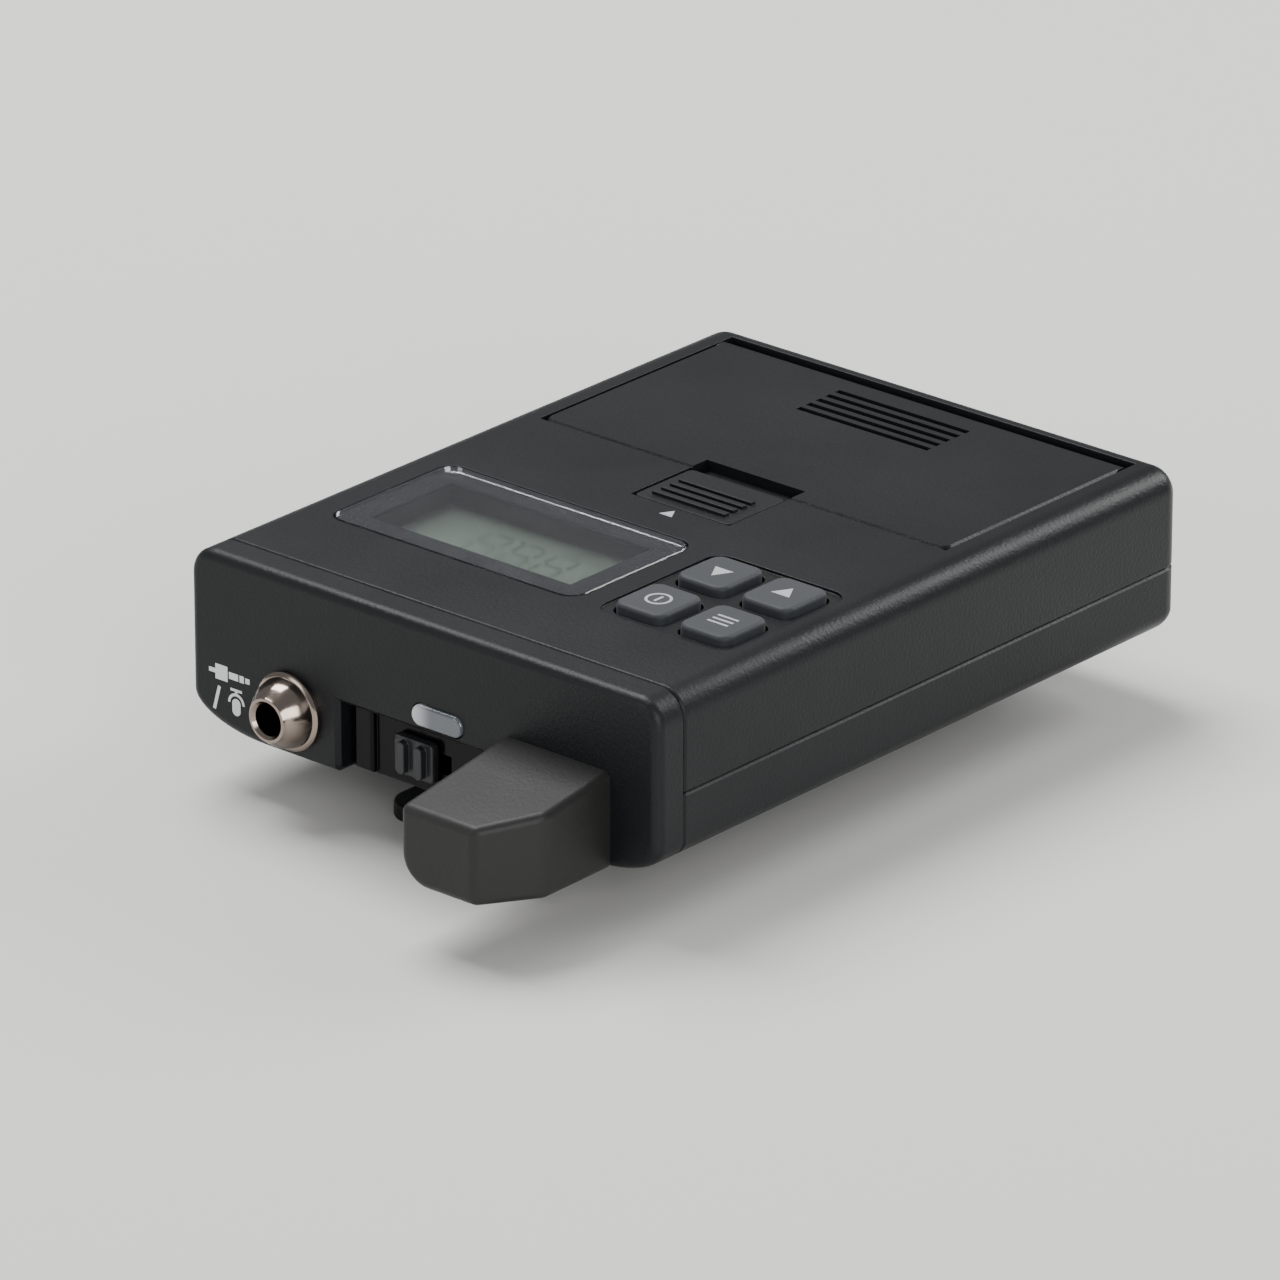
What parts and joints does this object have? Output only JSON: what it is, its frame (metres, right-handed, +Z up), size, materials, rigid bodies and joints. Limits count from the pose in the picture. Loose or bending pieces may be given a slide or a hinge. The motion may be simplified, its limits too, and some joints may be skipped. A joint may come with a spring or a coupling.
{
  "type": "wireless transmitter pack",
  "caption": "Pocket radio transmitter pack: stub antenna, 3.5 mm input jack, slide switch, display, keys, battery door and sprung belt clip.",
  "frame": {"origin": "on the resting plane, under the middle of the whole pack with its antenna", "axes": "+X across the width, +Y from the end cap towards the tail, +Z up from the belt clip to the display side"},
  "size_m": [0.064, 0.1, 0.0269],
  "materials": {
    "housing": "satin moulded ABS, fine texture",
    "gloss_black": "polished black ABS",
    "smoked_window": "smoked acrylic",
    "frosted_acrylic": "frosted clear acrylic",
    "nickel": "bright nickel plate on brass",
    "steel": "plain spring and sheet steel",
    "black_screw": "black oxide steel",
    "antenna_rubber": "satin moulded elastomer",
    "key_rubber": "silicone rubber, matt",
    "copper": "enamelled copper and tinned brass",
    "board": "green solder mask on glass epoxy",
    "component": "moulded epoxy",
    "capacitor": "rolled can with a sleeve",
    "inner_plastic": "black moulded polycarbonate",
    "display": "liquid crystal glass",
    "cell": "printed film over a steel can",
    "slider": "moulded acetal",
    "pad": "closed cell foam",
    "gold": "gold flash on brass",
    "plate": "blank printed film"
  },
  "bodies": {
    "housing": {"rear_shell": "housing", "front_shell": "housing", "end_cap": "housing", "rating_plate": "plate", "case_screws": "black_screw", "jack_bushing": "nickel", "jack_nut": "nickel", "jack_housing": "inner_plastic", "jack_contacts": "gold", "switch_bezel": "gloss_black", "switch_body": "steel", "light_pipe": "frosted_acrylic", "status_led": "display", "antenna_boot": "antenna_rubber", "antenna_coil": "copper", "antenna_ferrule": "copper", "antenna_spring": "gold", "main_board": "board", "shield_can": "steel", "board_chips": "component", "board_capacitors": "capacitor", "board_link": "component", "key_board": "board", "board_screws": "steel", "display_panel": "display", "display_holder": "inner_plastic", "display_lens": "smoked_window", "key_switches": "component", "battery_tray": "inner_plastic", "battery_cell_near": "cell", "battery_cell_far": "cell", "contact_plates": "steel", "contact_springs": "steel", "door_hinge_pin": "steel", "charge_contacts": "gold", "clip_bracket": "inner_plastic", "bracket_screws": "black_screw", "clip_pin": "steel", "clip_spring": "steel"},
    "mute_switch": {"mute_slider": "slider", "switch_lever": "inner_plastic"},
    "power_key": {"power_button": "key_rubber"},
    "menu_key": {"menu_button": "key_rubber"},
    "up_key": {"up_button": "key_rubber"},
    "down_key": {"down_button": "key_rubber"},
    "battery_door": {"battery_door": "housing", "door_pad": "pad"},
    "door_latch": {"door_latch": "inner_plastic"},
    "belt_clip": {"belt_clip": "inner_plastic"}
  },
  "joints": [
    {"name": "mute_slide", "type": "slide", "parent": "housing", "child": "mute_switch", "axis": [1, 0, 0], "range_m": [0, 0.003]},
    {"name": "power_press", "type": "slide", "parent": "housing", "child": "power_key", "axis": [0, 0, -1], "range_m": [0, 0.0005], "stiffness_N_per_m": 800, "springref_m": -0.0003},
    {"name": "menu_press", "type": "slide", "parent": "housing", "child": "menu_key", "axis": [0, 0, -1], "range_m": [0, 0.0005], "stiffness_N_per_m": 800, "springref_m": -0.0003},
    {"name": "up_press", "type": "slide", "parent": "housing", "child": "up_key", "axis": [0, 0, -1], "range_m": [0, 0.0005], "stiffness_N_per_m": 800, "springref_m": -0.0003},
    {"name": "down_press", "type": "slide", "parent": "housing", "child": "down_key", "axis": [0, 0, -1], "range_m": [0, 0.0005], "stiffness_N_per_m": 800, "springref_m": -0.0003},
    {"name": "door_hinge", "type": "hinge", "parent": "housing", "child": "battery_door", "pos_m": [0, 0.045, 0.0243], "axis": [-1, 0, 0], "range_deg": [0, 90]},
    {"name": "latch_slide", "type": "slide", "parent": "housing", "child": "door_latch", "axis": [0, 1, 0], "range_m": [0, 0.0024]},
    {"name": "clip_hinge", "type": "hinge", "parent": "housing", "child": "belt_clip", "pos_m": [0, -0.016, 0.0026], "axis": [-1, 0, 0], "range_deg": [0, 18], "stiffness_Nm_per_rad": 0.08, "springref_deg": -34.38}
  ]
}
